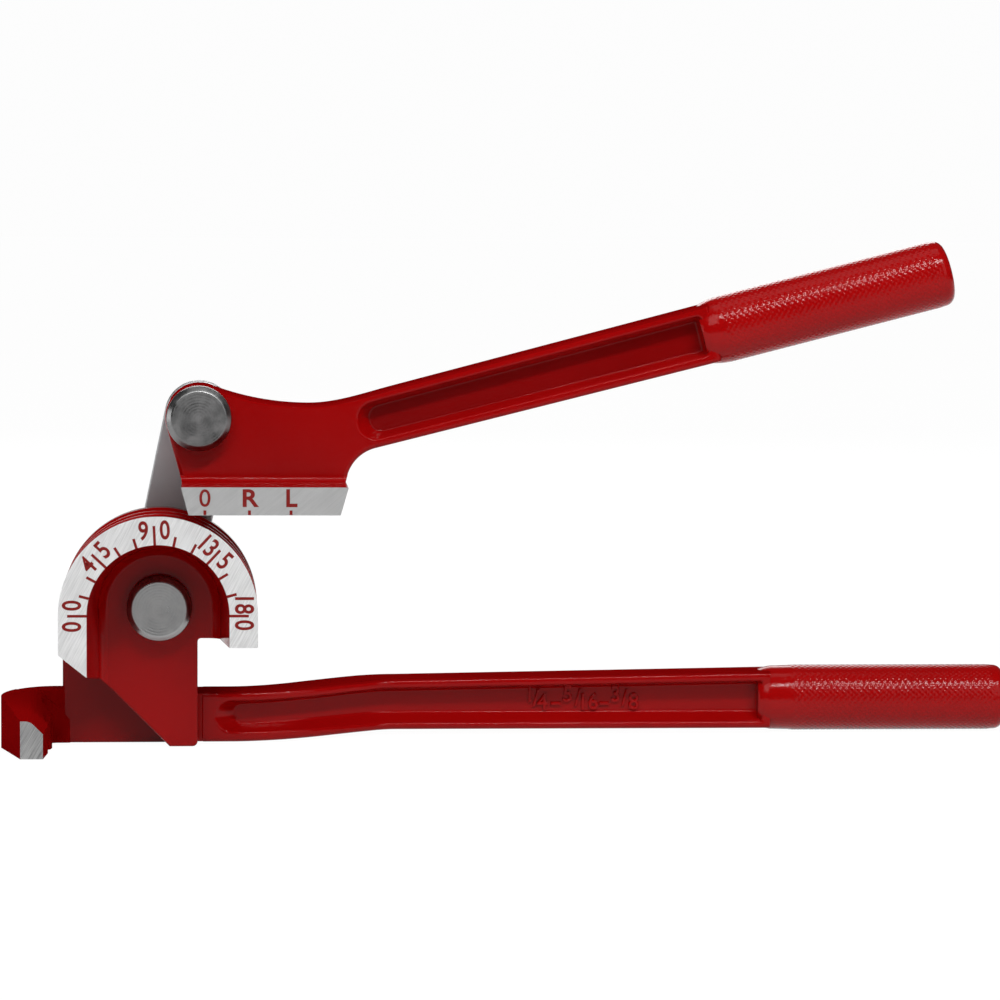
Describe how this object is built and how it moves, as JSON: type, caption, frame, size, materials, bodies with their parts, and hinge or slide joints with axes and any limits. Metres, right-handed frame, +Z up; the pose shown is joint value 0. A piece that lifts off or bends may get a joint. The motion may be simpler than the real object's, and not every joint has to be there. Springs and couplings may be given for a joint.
{
  "type": "tube bender",
  "caption": "Hand tube bender: a grooved forming wheel with a hook and a handle, and a grooved shoe on a second handle that swings round the wheel on a flat link.",
  "frame": {"origin": "on the bench under the wheel's axis, at the middle of the back plate's thickness", "axes": "+X along the fixed handle towards its grip, +Y from the dial to the back plate, +Z up from the bench"},
  "size_m": [0.2524, 0.0561, 0.1244],
  "materials": {
    "red_enamel": "gloss",
    "pin_steel": "turned",
    "zinc_plate": "zinc plated, satin"
  },
  "bodies": {
    "fixed_tool": {"forming_wheel": "red_enamel", "back_plate": "red_enamel", "tube_hook": "red_enamel", "fixed_bar": "red_enamel", "fixed_grip": "red_enamel"},
    "link": {"link_plate": "zinc_plate", "wheel_pin": "pin_steel", "shoe_pin": "pin_steel", "wheel_friction_washer": "zinc_plate", "shoe_friction_washer": "zinc_plate", "wheel_tail_washer": "zinc_plate", "shoe_tail_washer": "zinc_plate", "wheel_retaining_ring": "pin_steel", "shoe_retaining_ring": "pin_steel"},
    "moving_lever": {"bend_shoe": "red_enamel", "moving_arm": "red_enamel", "moving_grip": "red_enamel"}
  },
  "joints": [
    {"name": "wheel_pivot", "type": "hinge", "parent": "fixed_tool", "child": "link", "pos_m": [0, 0, 0.0343], "axis": [0, 1, 0], "range_deg": [-112, 65]},
    {"name": "shoe_pivot", "type": "hinge", "parent": "link", "child": "moving_lever", "pos_m": [0.00957, 0, 0.08052], "axis": [0, 1, 0], "range_deg": [-90, 23]}
  ]
}
